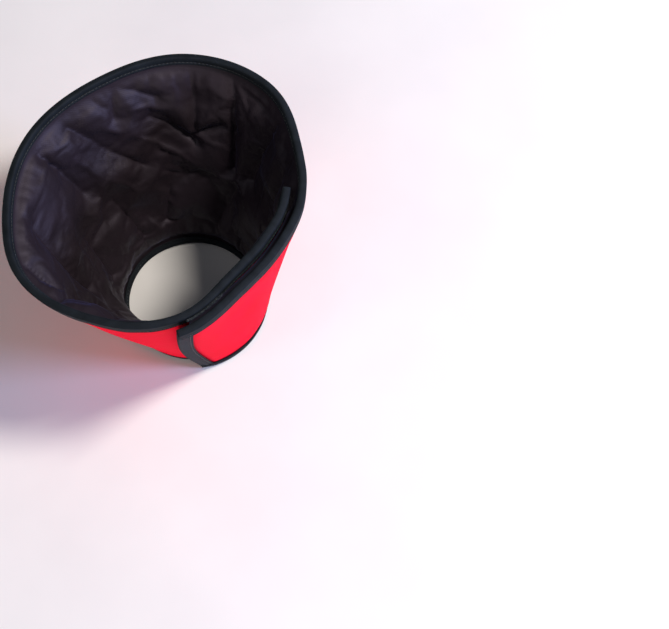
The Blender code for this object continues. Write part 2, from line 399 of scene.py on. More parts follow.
# %% [markdown]
# ### Binding tape
#
# Folded polyester tape with fine ribs across it, 1 mm apart. Its charcoal is bluer than
# the lining and has no purple in it, and its folded edge catches a soft light.

# %% Ribbed tape
RIB_SPACING = 0.0010
WEAR_PATCH = 0.012


def ribbed_tape():
    material, tree, shader = new_material("ribbed_tape")
    uv = node(tree, "ShaderNodeUVMap", {"uv_map": "cloth"}).outputs[0]
    axes = node(tree, "ShaderNodeSeparateXYZ", i0=uv)
    angle = node(tree, "ShaderNodeMath", {"operation": "MULTIPLY"},
                 i0=axes.outputs[0], i1=2 * pi / RIB_SPACING)
    ribs = node(tree, "ShaderNodeMath", {"operation": "SINE"}, i0=angle.outputs[0])
    wear = node(tree, "ShaderNodeTexNoise", Scale=1.0 / WEAR_PATCH, Detail=4.0, Vector=uv)
    tone = ramp(tree, wear.outputs[0], [(0.3, "#10151a"), (0.7, "#1a2026")])
    fine = node(tree, "ShaderNodeBump", Strength=0.35, Distance=0.00015, Height=ribs.outputs[0])
    broad = node(tree, "ShaderNodeBump", Strength=0.5, Distance=0.0006,
                 Height=wear.outputs[0], Normal=fine.outputs[0])
    feed(tree, shader, tone, broad, Roughness=0.70, Sheen_Weight=0.04, Sheen_Roughness=0.40,
         Sheen_Tint=linear("#b0c4d0"), Specular_IOR_Level=0.13)
    return material


# %% [markdown]
# ### Thread and closure tape
#
# Spun polyester thread, a shade lighter than the tape it sews. The nylon of hook and
# loop tape is glossier: its fibres are single smooth filaments. Torn ones are paler.

# %% Thread and nylon filament
THREAD_TWIST = 0.0006
FIBRE_PATCH = 0.0015


def spun_thread():
    material, tree, shader = new_material("spun_thread")
    place_in_object = node(tree, "ShaderNodeTexCoord").outputs["Object"]
    twist = node(tree, "ShaderNodeTexNoise", Scale=1.0 / THREAD_TWIST, Detail=2.0,
                 Vector=place_in_object)
    tone = ramp(tree, twist.outputs[0], [(0.3, "#12161a"), (0.7, "#1f2428")])
    feed(tree, shader, tone, Roughness=0.65, Sheen_Weight=0.30)
    return material


def nylon_filament(name, dark, light):
    material, tree, shader = new_material(name)
    place_in_object = node(tree, "ShaderNodeTexCoord").outputs["Object"]
    fibre = node(tree, "ShaderNodeTexNoise", Scale=1.0 / FIBRE_PATCH, Detail=3.0,
                 Vector=place_in_object)
    tone = ramp(tree, fibre.outputs[0], [(0.3, dark), (0.75, light)])
    feed(tree, shader, tone, Roughness=0.42, Specular_IOR_Level=0.5)
    return material


RED = red_nylon()
BLACK = black_taffeta()
TAPE = ribbed_tape()
THREAD = spun_thread()
FILAMENT = nylon_filament("nylon_filament", "#0b0e12", "#20282f")
FRAYED = nylon_filament("frayed_nylon", "#2a323c", "#5a6674")
print("materials:", [m.name for m in (RED, BLACK, TAPE, THREAD, FILAMENT, FRAYED)])


# %% [markdown]
# ## Meshes from arrays
#
# A sewn panel is a grid of points, columns round the wrap and rows up the slope. The
# helper turns such a grid into a mesh with the cloth's UV map. Numpy hands all the
# faces over at once, which is far quicker than adding them one at a time.

# %% Grid to mesh
NOISE_CELLS = 97


def grid_object(name, points, cloth_u, cloth_v, material, closed=False, capped=False):
    """Mesh through a grid of points [column, row]. closed joins the last row to the first."""
    columns, rows = points.shape[:2]
    index = np.arange(columns * rows).reshape(columns, rows)
    if closed:
        index = np.concatenate([index, index[:, :1]], axis=1)
    quads = np.stack([index[:-1, :-1], index[1:, :-1], index[1:, 1:], index[:-1, 1:]],
                     axis=-1).reshape(-1, 4)
    mesh = bpy.data.meshes.new(name)
    mesh.from_pydata(points.reshape(-1, 3).tolist(), [], quads.tolist())
    layer = mesh.uv_layers.new(name="cloth")
    flat_u = np.broadcast_to(cloth_u, (columns, rows)).reshape(-1)
    flat_v = np.broadcast_to(cloth_v, (columns, rows)).reshape(-1)
    corners = np.zeros(len(mesh.loops), dtype=np.int32)
    mesh.loops.foreach_get("vertex_index", corners)
    layer.data.foreach_set("uv", np.stack([flat_u[corners], flat_v[corners]], axis=-1).ravel())
    if capped:
        bm = bmesh.new()
        bm.from_mesh(mesh)
        bmesh.ops.holes_fill(bm, edges=[edge for edge in bm.edges if edge.is_boundary], sides=0)
        bmesh.ops.triangulate(bm, faces=[face for face in bm.faces if len(face.verts) > 4])
        bmesh.ops.recalc_face_normals(bm, faces=bm.faces)
        bm.to_mesh(mesh)
        bm.free()
    mesh.materials.append(material)
    mesh.shade_smooth()
    return add_object(name, mesh)


def value_noise(u, v, seed):
    """Smooth noise from 0 to 1 on a grid of unit cells, the same each run."""
    cells = np.random.default_rng(seed).random((NOISE_CELLS, NOISE_CELLS))
    whole_u, whole_v = np.floor(u).astype(int), np.floor(v).astype(int)
    fu, fv = smooth(u - whole_u), smooth(v - whole_v)
    iu, iv = whole_u % NOISE_CELLS, whole_v % NOISE_CELLS
    ju, jv = (whole_u + 1) % NOISE_CELLS, (whole_v + 1) % NOISE_CELLS
    a, b, c, d = cells[iu, iv], cells[ju, iv], cells[iu, jv], cells[ju, jv]
    return (a * (1 - fu) + b * fu) * (1 - fv) + (c * (1 - fu) + d * fu) * fv


def thicken(piece, thickness, side):
    """Give an open sheet its thickness and make it a plain mesh."""
    modifier = piece.modifiers.new("Thickness", "SOLIDIFY")
    modifier.thickness = thickness
    modifier.offset = side
    return make_plain(piece)


def make_plain(piece):
    """Replace a piece's mesh with its evaluated one and drop its modifiers."""
    graph = bpy.context.evaluated_depsgraph_get()
    mesh = bpy.data.meshes.new_from_object(piece.evaluated_get(graph))
    piece.modifiers.clear()
    old, piece.data = piece.data, mesh
    bpy.data.meshes.remove(old)
    return piece


# %% [markdown]
# ## Red shell
#
# The shell is cloth with about 3 mm of foam behind it. Foam rounds everything: the panel
# sinks where the edge tape is sewn down, swells just past it, ripples there, and waves a
# little along its length. These displace the outer face, and the inner face, which the
# lining hides, stays plain. It starts a little above the neck edge, hidden by the tape.

# %% Shell
SHELL_COLUMNS = 420
SHELL_ROWS = 84
SEWN_PINCH = 0.0009
SWELL = 0.0007
SWELL_REACH = 0.012
WAVE = 0.0011
WAVE_LENGTH = 0.045
PINCH_EASE = 0.008
RIPPLE = 0.0007
RIPPLE_LENGTH, RIPPLE_HEIGHT = 0.016, 0.05
SHELL_FROM = 0.014
UNROLLED_RADIUS = 0.095


def panel_grid(columns, rows, low, high):
    """Turns and heights of a grid over the panel."""
    share = np.linspace(0.0, 1.0, columns)[:, None]
    height = np.linspace(low, high, rows)[None, :]
    height = np.broadcast_to(height, (columns, rows))
    return panel_turn(share, height), height


def edge_distance(turn, height):
    """Distance in metres from the nearest bound edge of the panel."""
    across = turn_per_metre(turn, height)
    return np.minimum.reduce([
        height * PANEL_WIDTH, (1.0 - height) * PANEL_WIDTH,
        (turn - flap_turn(height)) / across, (WRAP_TURN - turn) / across,
    ])


def cloth_uv(turn, height):
    """Metres round the wrap and up the slope."""
    return np.radians(turn) * UNROLLED_RADIUS, height * PANEL_WIDTH


def shell_relief(turn, height):
    """How far the foam-backed cloth stands out from its plain face."""
    distance = edge_distance(turn, height) - BINDING_WIDTH
    u, v = cloth_uv(turn, height)
    pinch = -SEWN_PINCH * (1.0 - smooth((distance + PINCH_EASE / 2) / PINCH_EASE))
    swell = SWELL * np.exp(-((distance - SWELL_REACH) / SWELL_REACH) ** 2)
    wave = value_noise(u / WAVE_LENGTH, v / (1.6 * WAVE_LENGTH), 3) - 0.5
    ripple = value_noise(u / RIPPLE_LENGTH, v / RIPPLE_HEIGHT, 5) - 0.5
    near_edge = np.exp(-np.clip(distance, 0.0, None) / SWELL_REACH)
    inside = smooth((distance + SWELL_REACH / 2) / SWELL_REACH)
    return pinch + inside * (swell + WAVE * wave + RIPPLE * ripple * near_edge)


def make_shell():
    turn, height = panel_grid(SHELL_COLUMNS, SHELL_ROWS, SHELL_FROM, 1.0)
    outer = place(turn, height, SHELL_FACE + SHELL_THICKNESS + shell_relief(turn, height))
    inner = place(turn, height, SHELL_FACE)
    ring = np.concatenate([outer, inner[:, ::-1]], axis=1)
    u, v = cloth_uv(turn, height)
    ring_u = np.concatenate([u, u[:, ::-1]], axis=1)
    ring_v = np.concatenate([v, v[:, ::-1]], axis=1)
    return grid_object("red_shell_panel", ring, ring_u, ring_v, RED, closed=True, capped=True)


shell = make_shell()
print("shell faces:", len(shell.data.polygons))

# %% [markdown]
# ## Puckered lining
#
# The lining is cut larger than the shell and sewn to it round the edges, so its spare
# cloth gathers into pillows with sharp creases between them. Two steps make it. First the
# creases of the photograph are laid out from a short table. Then a cloth simulation lets
# the cloth grow a few per cent while its edges and creases are held, and it buckles into
# the small folds that nobody could draw.

# %% Creases of the photograph
PUFF = 0.0115
PUFF_EDGE = 0.022
PUFF_RISE = 0.65
GATHER_SPACING = 0.009
GATHER_REACH = 0.022
GATHER_DEPTH = 0.45
LUMP_LENGTH, LUMP_HEIGHT = 0.032, 0.026
DRIFT_LENGTH, DRIFT_HEIGHT = 0.03, 0.02
CALM_START = 318.0
CALM_TURN = 30.0
CREASE_SPREAD = 1.9
CREASE_COLUMNS = ("turn_a", "height_a", "turn_b", "height_b", "width", "depth")
CREASES = [
    (244, 0.97, 238, 0.58, 0.030, 1.00),
    (207, 0.95, 210, 0.80, 0.022, 1.00),
    (207, 0.95, 192, 0.83, 0.025, 0.90),
    (216, 0.96, 210, 0.80, 0.020, 0.60),
    (228, 0.89, 218, 0.67, 0.035, 1.00),
    (218, 0.67, 205, 0.52, 0.035, 0.80),
    (196, 0.74, 176, 0.59, 0.028, 0.95),
    (178, 0.96, 176, 0.64, 0.022, 0.80),
    (162, 0.97, 155, 0.49, 0.022, 1.00),
    (173, 0.65, 163, 0.70, 0.024, 0.85),
    (136, 0.97, 142, 0.50, 0.035, 1.00),
    (132, 0.97, 117, 0.92, 0.028, 0.80),
    (160, 0.92, 146, 0.90, 0.024, 0.70),
    (148, 0.97, 143, 0.90, 0.020, 0.60),
    (270, 0.82, 284, 0.40, 0.040, 1.00),
    (283, 0.98, 299, 0.84, 0.026, 0.95),
    (308, 0.92, 300, 0.42, 0.030, 0.90),
    (290, 0.99, 298, 0.95, 0.018, 0.60),
    (255, 0.45, 262, 0.20, 0.040, 0.70),
    (116, 0.97, 116, 0.60, 0.030, 0.90),
    (330, 0.90, 345, 0.40, 0.035, 0.80),
    (352, 0.88, 357, 0.55, 0.028, 0.60),
    (375, 0.88, 366, 0.38, 0.035, 0.80),
    (405, 0.88, 398, 0.40, 0.035, 0.80),
    (190, 0.42, 200, 0.18, 0.040, 0.70),
    (228, 0.44, 220, 0.16, 0.040, 0.60),
    (150, 0.40, 160, 0.15, 0.040, 0.60),
]


def crease_depth(turn, height):
    """How much of the puff the creases take away, from 0 to 1."""
    radius = NECK_RADIUS + height * PANEL_WIDTH * np.sin(slope_at(turn))
    depth = np.zeros_like(turn)
    for row in CREASES:
        crease = dict(zip(CREASE_COLUMNS, row))
        ax = np.radians(crease["turn_a"] - turn) * radius
        ay = (crease["height_a"] - height) * PANEL_WIDTH
        run_x = np.radians(crease["turn_b"] - crease["turn_a"]) * radius
        run_y = (crease["height_b"] - crease["height_a"]) * PANEL_WIDTH
        share = np.clip(-(ax * run_x + ay * run_y) / (run_x ** 2 + run_y ** 2), 0.0, 1.0)
        distance = np.hypot(ax + share * run_x, ay + share * run_y)
        reach = distance / (CREASE_SPREAD * crease["width"] * PANEL_WIDTH)
        depth = np.maximum(depth, crease["depth"] * np.exp(-reach))
    return depth


def free_lining(turn, height):
    """1 where the lining is free, 0 under the tapes and where the two layers lie together."""
    edge_turn = PUFF_EDGE * turn_per_metre(turn, height)
    tape_turn = BINDING_WIDTH * turn_per_metre(turn, height)
    leg = (BINDING_TURNED_IN + CLEARANCE) / PANEL_WIDTH
    free = smooth((height - leg) * PANEL_WIDTH / PUFF_EDGE)
    free = free * smooth((1.0 - leg - height) * PANEL_WIDTH / PUFF_EDGE)
    free = free * smooth((turn - LAP_TURN) / edge_turn)
    return free * smooth((WRAP_TURN - turn - tape_turn) / edge_turn)


# %% [markdown]
# Where the flap lies over the other layer, its lining is pressed flat. Only just below
# the rim, in the open slot between the two layers, it fills out again.

# %% Lining in the slot
SLOT_PUFF = 0.0058
SLOT_HEIGHT = 0.951
SLOT_ABOVE = 0.010
SLOT_BELOW = 0.022
SLOT_FROM, SLOT_EASE = 4.2, 2.6
SLOT_UNTIL, SLOT_FADE = LAP_TURN - 3.0, 12.0


def slot_puff(turn, height):
    """Depth of the flap's lining in the slot below the rim."""
    along = smooth((turn - flap_turn(height) - SLOT_FROM) / SLOT_EASE)
    along = along * smooth((SLOT_UNTIL - turn) / SLOT_FADE)
    reach = np.where(height > SLOT_HEIGHT, SLOT_ABOVE, SLOT_BELOW)
    return SLOT_PUFF * along * np.exp(-((height - SLOT_HEIGHT) / reach) ** 2)


# %% Lining mesh, before the simulation
LINING_COLUMNS = 340
LINING_ROWS = 86
LINING_FROM = 0.008


def make_lining_sheet():
    """Open sheet with the main creases laid in."""
    turn, height = panel_grid(LINING_COLUMNS, LINING_ROWS, LINING_FROM, 1.0)
    u, v = cloth_uv(turn, height)
    lumps = 0.50 + 1.0 * value_noise(u / LUMP_LENGTH, v / LUMP_HEIGHT, 11)
    from_seam = np.minimum(1.0 - height, height) * PANEL_WIDTH
    drift = 2.0 * value_noise(u / DRIFT_LENGTH, v / DRIFT_HEIGHT, 13)
    gathers = value_noise(u / GATHER_SPACING + drift, v / (2 * DRIFT_LENGTH), 17)
    lumps = lumps * (1.0 - GATHER_DEPTH * gathers * np.exp(-from_seam / GATHER_REACH))
    calm = 1.0 - 0.6 * smooth((turn - CALM_START) / CALM_TURN)
    full = PUFF * calm * free_lining(turn, height) ** PUFF_RISE
    puff = full * (1.0 - crease_depth(turn, height)) * lumps
    points = place(turn, height, LINING_FACE - puff - slot_puff(turn, height))
    return grid_object("black_lining", points, u, v, BLACK), turn, height


lining, lining_turn, lining_height = make_lining_sheet()
print("lining faces:", len(lining.data.polygons))

# %% [markdown]
# The simulation runs without gravity. `shrink_min` below zero lets every thread grow, so
# the spare cloth has to go somewhere. Points under the tapes are pinned, creases are
# held more loosely, and afterwards each point is kept between the shell and a largest
# depth, because the cloth knows nothing of the shell behind it.

# %% Let the lining pucker
GROWTH = 0.045
SIMULATED_FRAMES = 16
DEEPEST_PUFF = 0.0135
CREASE_HOLD = 0.55
HOLD_LEVELS = 20


def pucker(sheet, turn, height):
    """Simulate the spare cloth and keep the result clear of the shell."""
    free = free_lining(turn, height)
    in_crease = CREASE_HOLD * crease_depth(turn, height) ** 2
    held = np.maximum(1.0 - smooth(2.5 * free), in_crease).ravel()
    group = sheet.vertex_groups.new(name="held")
    for level in range(1, HOLD_LEVELS + 1):
        members = np.nonzero(np.round(held * HOLD_LEVELS).astype(int) == level)[0]
        if len(members):
            group.add(members.tolist(), level / HOLD_LEVELS, "REPLACE")
    cloth = sheet.modifiers.new("Cloth", "CLOTH")
    settings = cloth.settings
    settings.quality = 6
    settings.mass = 0.08
    settings.tension_stiffness = 25.0
    settings.compression_stiffness = 25.0
    settings.shear_stiffness = 8.0
    settings.bending_stiffness = 0.4
    settings.air_damping = 3.0
    settings.shrink_min = -GROWTH
    settings.vertex_group_mass = "held"
    settings.pin_stiffness = 1.0
    settings.effector_weights.gravity = 0.0
    cloth.collision_settings.use_collision = False
    cloth.collision_settings.use_self_collision = False
    cloth.point_cache.frame_start = 1
    cloth.point_cache.frame_end = SIMULATED_FRAMES
    scene = bpy.context.scene
    for step in range(1, SIMULATED_FRAMES + 1):
        scene.frame_set(step)
    graph = bpy.context.evaluated_depsgraph_get()
    moved = bpy.data.meshes.new_from_object(sheet.evaluated_get(graph))
    settled = np.zeros(len(moved.vertices) * 3)
    moved.vertices.foreach_get("co", settled)
    sheet.modifiers.clear()
    bpy.data.meshes.remove(moved)
    scene.frame_set(1)
    keep_behind(sheet, settled.reshape(turn.shape + (3,)), turn, height)


def keep_behind(sheet, settled, turn, height):
    """Clamp the simulated depth between the shell and the deepest puff."""
    base = place(turn, height, LINING_FACE)
    out = wall_frame(turn, height)[2]
    depth = -((settled - base) * out).sum(axis=-1)
    slide = settled - base + depth[..., None] * out
    free = free_lining(turn, height)
    soft = DEEPEST_PUFF * np.tanh(np.clip(depth, 0.0, None) / DEEPEST_PUFF) * smooth(free * 3.0)
    soft = soft + slot_puff(turn, height)
    points = base - out * soft[..., None] + slide * free[..., None]
    sheet.data.vertices.foreach_set("co", points.ravel())
    sheet.data.update()
    print(f"lining depth, mm: mean {1000 * soft.mean():.2f}, most {1000 * soft.max():.2f}")


pucker(lining, lining_turn, lining_height)
thicken(lining, LINING_THICKNESS * 0.7, -1)
print("lining faces with its thickness:", len(lining.data.polygons))

# %% [markdown]
# ## Edge tape
#
# Binding tape is folded lengthwise over the raw edge and sewn through. Sewing pulls it,
# so it dips at the stitch line, its free edge lifts a little between stitches, and the
# fold over the edge is round. The long tapes turn in a narrower leg than they show
# outside. The cross-section is a list of points in the wall's own plane: `out` of the wall
# and `along` the wall away from the edge. It is swept along each edge of the panel.

# %% Cross-section of the folded tape
STITCH_FROM_EDGE = 0.0018
STITCH_DIP = 0.00055
EDGE_PINCH = 0.0011
FOLD_STEPS = 8
LEG_STEPS = 9
FOLD_REACH = CLEARANCE + BINDING_THICKNESS
INNER_START = 0.0002
INNER_STOP = 0.0001
DIP_REACH = 0.0011
LIFT, LIFT_REACH, LIFT_LENGTH = 0.00025, 0.0012, 0.011
BELLY, BELLY_AT, BELLY_REACH = 0.00035, 0.0050, 0.0020
WOBBLE, WOBBLE_LENGTH = 0.00030, 0.019
PULL_LENGTH = 0.006


def tape_section(inner_width, pinch):
    """Rows of (out, along, side, from_edge) down the outer leg, round the fold and up the
    inner leg, then back along the inside. The fold is pinched thinner than the wall."""
    rows = []
    outside, inside = BINDING_OUTSIDE - pinch, BINDING_INSIDE + 0.3 * pinch
    for k in range(LEG_STEPS):
        share = k / (LEG_STEPS - 1)
        eased = BINDING_OUTSIDE - pinch * share ** 0.7
        rows.append((eased, BINDING_WIDTH * (1.0 - share), 1.0, BINDING_WIDTH * share))
    half, middle = (outside - inside) / 2, (outside + inside) / 2
    for k in range(1, FOLD_STEPS):
        angle = pi * k / FOLD_STEPS
        rows.append((middle + half * cos(angle), -FOLD_REACH * sin(angle) ** 0.8, 0.0,
                     BINDING_WIDTH))
    for k in range(LEG_STEPS):
        share = k / (LEG_STEPS - 1)
        rows.append((inside, inner_width * share, -1.0, inner_width * (1.0 - share)))
    rows += [(INNER_LEG, inner_width - INNER_STOP, 0.0, 0.0),
             (INNER_LEG, INNER_START, 0.0, 0.0),
             (OUTER_LEG - 1.2 * pinch, INNER_START, 0.0, 0.0),
             (OUTER_LEG - 0.2 * pinch, BINDING_WIDTH - INNER_STOP, 0.0, 0.0)]
    return np.array(rows)


def width_round(section):
    """Metres round the section, from its first point."""
    return np.cumsum(np.r_[0.0, np.hypot(*np.diff(section[:, :2], axis=0).T)])


def tape_relief(section, run):
    """Dip at the stitch line and lift at the free edge, for each column of a tape."""
    side, from_edge = section[:, 2], section[None, :, 3]
    run, row = run[:, None], side[None, :]
    dip = -STITCH_DIP * np.exp(-((from_edge - STITCH_FROM_EDGE) / DIP_REACH) ** 2)
    pull = 0.5 + value_noise(run / PULL_LENGTH, from_edge * 0.0, 21)
    lift = LIFT * np.exp(-from_edge / LIFT_REACH) * value_noise(run / LIFT_LENGTH, row * 3, 23)
    belly = BELLY * np.exp(-((from_edge - BELLY_AT) / BELLY_REACH) ** 2)
    wobble = WOBBLE * (value_noise(run / WOBBLE_LENGTH, row * 7 + 1, 25) - 0.5)
    return row * (dip * pull + lift + belly + wobble)


# %% [markdown]
# The two long tapes run the whole wrap. The neck tape differs in one way: the collar
# stands on it, so whatever would reach below the floor is pressed flat.

# %% Rim and neck tape
LONG_COLUMNS = 620
RIM_RADIUS = 0.125
END_CLOSED = 0.8 * BINDING_THICKNESS


def long_tape(name, height_at_edge, upward):
    """Tape along the rim (upward 1) or the neck edge (upward -1)."""
    section = tape_section(BINDING_TURNED_IN, EDGE_PINCH if upward > 0 else 0.3 * EDGE_PINCH)
    past = CLEARANCE + END_CLOSED
    turn = panel_turn(np.linspace(0.0, 1.0, LONG_COLUMNS), height_at_edge)
    ends = turn_per_metre(turn[[0, -1]], height_at_edge) * past
    whole = turn[-1] - turn[0]
    turn = turn[0] - ends[0] + (turn - turn[0]) * (whole + ends.sum()) / whole
    run = np.radians(turn) * (NECK_RADIUS if upward < 0 else RIM_RADIUS)
    relief = tape_relief(section, run)
    height = height_at_edge - upward * section[None, :, 1] / PANEL_WIDTH
    points = place(turn[:, None], height, section[None, :, 0] + relief)
    if upward < 0:
        points = press_flat(points, section)
    across = width_round(section)
    return grid_object(name, points[:, ::upward], run[:, None], across[None, ::upward], TAPE,
                       closed=True, capped=True)


def press_flat(points, section):
    """Keep the neck tape on the floor and its inner faces just above that."""
    lowest = np.zeros(len(section))
    lowest[-4:] = END_CLOSED
    points = points.copy()
    points[..., 2] = np.maximum(points[..., 2], lowest)
    return points


rim_tape = long_tape("rim_tape", 1.0, 1)
neck_tape = long_tape("neck_tape", (BINDING_THICKNESS + CLEARANCE) / PANEL_WIDTH, -1)
print("tape faces:", len(rim_tape.data.polygons), len(neck_tape.data.polygons))

# %% [markdown]
# ### End tapes
#
# The two short edges have the same tape, with legs of one width. At the flap it follows
# the slanted edge and curves into the neck tape, as the photograph shows. Both ends of it
# are sunk under the long tapes and close their open ends.

# %% Flap end and tucked end
END_COLUMNS = 190
END_OVERLAP = 0.0030
SUNK_END = 0.0011
END_FROM = 0.0022 / PANEL_WIDTH
END_TO = 1.0 + 0.0001 / PANEL_WIDTH


def end_tape(name, share, inward):
    """Tape along a short edge. inward is the way from the edge into the panel."""
    section = tape_section(BINDING_WIDTH, 0.6 * EDGE_PINCH)
    height = np.linspace(END_FROM, END_TO, END_COLUMNS)
    edge_turn = panel_turn(share, height)
    run = height * PANEL_WIDTH
    relief = tape_relief(section, run)
    from_ends = np.minimum(run - run[0], run[-1] - run)
    tuck_under = SUNK_END * (1.0 - smooth((from_ends - BINDING_WIDTH + END_OVERLAP) / END_OVERLAP))
    per_metre = turn_per_metre(edge_turn, height)[:, None]
    turns = edge_turn[:, None] + inward * section[None, :, 1] * per_metre
    sink = tuck_under[:, None] * section[None, :, 2]
    points = place(turns, height[:, None], section[None, :, 0] + relief - sink)
    across = width_round(section)
    return grid_object(name, points[:, ::-inward], run[:, None], across[None, ::-inward], TAPE,
                       closed=True, capped=True)


flap_tape = end_tape("flap_end_tape", 0, 1)
tuck_tape = end_tape("tuck_end_tape", 1, -1)

# %% [markdown]
# ## Stitches
#
# A lockstitch shows as a row of short thread lengths, each sunk at both ends. Geometry
# Nodes repeat one stitch along a line: the line is resampled to the stitch length, and
# the stitch is turned to follow it. The tree has named inputs, so the same tree sews
# every edge.

# %% One stitch
STITCH_LENGTH = 0.0032
STITCH_SHARE = 0.80
THREAD_RADIUS = 0.00026


def tube_pattern(name, rings):
    """Closed tube through rings of points, for Geometry Nodes to repeat."""
    bm = bmesh.new()
    rings = [[bm.verts.new(point) for point in ring] for ring in rings]
    for ring, following in zip(rings, rings[1:]):
        for a, b, c, d in zip(ring, ring[1:] + ring[:1], following[1:] + following[:1], following):
            bm.faces.new((a, b, c, d))
    bm.faces.new(rings[0])
    bm.faces.new(rings[-1])
    bmesh.ops.recalc_face_normals(bm, faces=bm.faces)
    mesh = bpy.data.meshes.new(name)
    bm.to_mesh(mesh)
    bm.free()
    pattern = add_object(name, mesh)
    pattern["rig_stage"] = True
    return pattern


def stitch_mesh():
    """Thread length along X, six-sided, bowed up in the middle and closed at its ends."""
    rings = []
    for share in np.linspace(-1.0, 1.0, 7):
        radius = THREAD_RADIUS * (1.0 - 0.75 * abs(share) ** 4)
        bow = THREAD_RADIUS * 0.9 * (1.0 - share ** 2)
        x = share * STITCH_LENGTH * STITCH_SHARE / 2
        rings.append([(x, radius * cos(a), bow + radius * sin(a))
                      for a in np.linspace(0, 2 * pi, 6, endpoint=False)])
    stitch = tube_pattern("stitch", rings)
    stitch.data.shade_smooth()
    return stitch


# %% Geometry Nodes that sew a line
def group_with_inputs(name, inputs):
    """Geometry node group with a mesh in and out, and the named inputs."""
    tree = bpy.data.node_groups.new(name, "GeometryNodeTree")
    tree.interface.new_socket("Geometry", in_out="INPUT", socket_type="NodeSocketGeometry")
    for label, kind in inputs:
        tree.interface.new_socket(label, in_out="INPUT", socket_type=kind)
    tree.interface.new_socket("Geometry", in_out="OUTPUT", socket_type="NodeSocketGeometry")
    return tree, tree.nodes.new("NodeGroupInput"), tree.nodes.new("NodeGroupOutput")


def sewing_tree():
    tree, source, result = group_with_inputs("sewn_row", [
        ("Stitch", "NodeSocketObject"), ("Stitch Length", "NodeSocketFloat"),
        ("Thread", "NodeSocketMaterial")])
    out = source.outputs
    line = node(tree, "GeometryNodeMeshToCurve", Mesh=out["Geometry"])
    spaced = node(tree, "GeometryNodeResampleCurve", {"mode": "LENGTH"}, Curve=line.outputs[0],
                  Length=out["Stitch Length"])
    tangent = node(tree, "GeometryNodeInputTangent")
    normal = node(tree, "GeometryNodeInputNamedAttribute", {"data_type": "FLOAT_VECTOR"},
                  Name="out")
    lengthwise = node(tree, "FunctionNodeAlignRotationToVector", {"axis": "X"},
                      Vector=tangent.outputs[0])
    turned = node(tree, "FunctionNodeAlignRotationToVector", {"axis": "Z", "pivot_axis": "X"},
                  Rotation=lengthwise.outputs[0], Vector=normal.outputs[0])
    thread = node(tree, "GeometryNodeObjectInfo", Object=out["Stitch"])
    rows = node(tree, "GeometryNodeInstanceOnPoints", Points=spaced.outputs[0],
                Instance=thread.outputs["Geometry"], Rotation=turned.outputs[0])
    real = node(tree, "GeometryNodeRealizeInstances", Geometry=rows.outputs[0])
    dyed = node(tree, "GeometryNodeSetMaterial", Geometry=real.outputs[0], Material=out["Thread"])
    tree.links.new(dyed.outputs[0], result.inputs[0])
    return tree


def set_input(modifier, label, value):
    """Set a modifier's input by the identifier of its socket."""
    for item in modifier.node_group.interface.items_tree:
        if item.item_type == "SOCKET" and item.in_out == "INPUT" and item.name == label:
            modifier[item.identifier] = value


def grow(piece, tree, **inputs):
    """Run a tree with its inputs on a piece and keep the result as its mesh."""
    modifier = piece.modifiers.new(tree.name, "NODES")
    modifier.node_group = tree
    for label, value in inputs.items():
        set_input(modifier, label.replace("_", " "), value)
    return make_plain(piece)


def line_object(name, lines, outs):
    """Mesh of edge chains, with the direction out of the cloth as an attribute."""
    points = np.concatenate(lines)
    edges, start = [], 0
    for line in lines:
        edges += [(start + k, start + k + 1) for k in range(len(line) - 1)]
        start += len(line)
    mesh = bpy.data.meshes.new(name)
    mesh.from_pydata(points.tolist(), edges, [])
    attribute = mesh.attributes.new("out", "FLOAT_VECTOR", "POINT")
    attribute.data.foreach_set("vector", np.concatenate(outs).ravel())
    return add_object(name, mesh)


one_stitch = stitch_mesh()
SEWING = sewing_tree()


# %% [markdown]
# Each tape is sewn through both legs, so a row shows on its outer face and another on
# its inner face, about 2 mm from the free edge of each leg.

# %% Sew the tapes
def stitch_line(turn, height, side):
    """Line of a stitch row on the outer (1) or the inner (-1) face of a tape."""
    face = BINDING_OUTSIDE - 0.35 * EDGE_PINCH if side > 0 else BINDING_INSIDE + 0.2 * EDGE_PINCH
    lift = side * (THREAD_RADIUS * 0.35 - STITCH_DIP * 0.8)
    return place(turn, height, face + lift), wall_frame(turn, height)[2] * side


def sew(name, routes):
    """Sew rows of (turn, height, side) on a tape."""
    lines, outs = zip(*[stitch_line(*route) for route in routes])
    row = grow(line_object(name, lines, outs), SEWING, Stitch=one_stitch,
               Stitch_Length=STITCH_LENGTH, Thread=THREAD)
    print(name, "stitch faces:", len(row.data.polygons))
    return row


seam_in = BINDING_WIDTH - STITCH_FROM_EDGE
seams = ((seam_in / PANEL_WIDTH, 1), ((BINDING_TURNED_IN - STITCH_FROM_EDGE) / PANEL_WIDTH, -1))
rim_rows = [(panel_turn(np.linspace(0.0, 1.0, 500), 1.0 - seam), 1.0 - seam, side)
            for seam, side in seams]
neck_rows = [(panel_turn(np.linspace(0.0, 1.0, 400), seam), seam, side) for seam, side in seams]
end_heights = np.linspace(0.06, 0.955, 120)
flap_seam = flap_turn(end_heights)
flap_seam = flap_seam + seam_in * turn_per_metre(flap_seam, end_heights)
tuck_seam = np.full_like(end_heights, WRAP_TURN)
tuck_seam = tuck_seam - seam_in * turn_per_metre(tuck_seam, end_heights)

rim_stitches = sew("rim_stitches", rim_rows)
neck_stitches = sew("neck_stitches", neck_rows)
flap_stitches = sew("flap_stitches", [(flap_seam, end_heights, side) for side in (1, -1)])
tuck_stitches = sew("tuck_stitches", [(tuck_seam, end_heights, side) for side in (1, -1)])
bpy.data.objects.remove(one_stitch)

# %% [markdown]
# ## Hook and loop tape
#
# The loop side is a mat of fine nylon loops, and the hook side is short stiff hooks. Each
# is a strip with small arcs of filament scattered on it, which Geometry Nodes place with
# a fixed seed. The same tree scatters the loose fibres that show as fuzz in the slot at
# the rim and at the frayed corner of the tucked end.

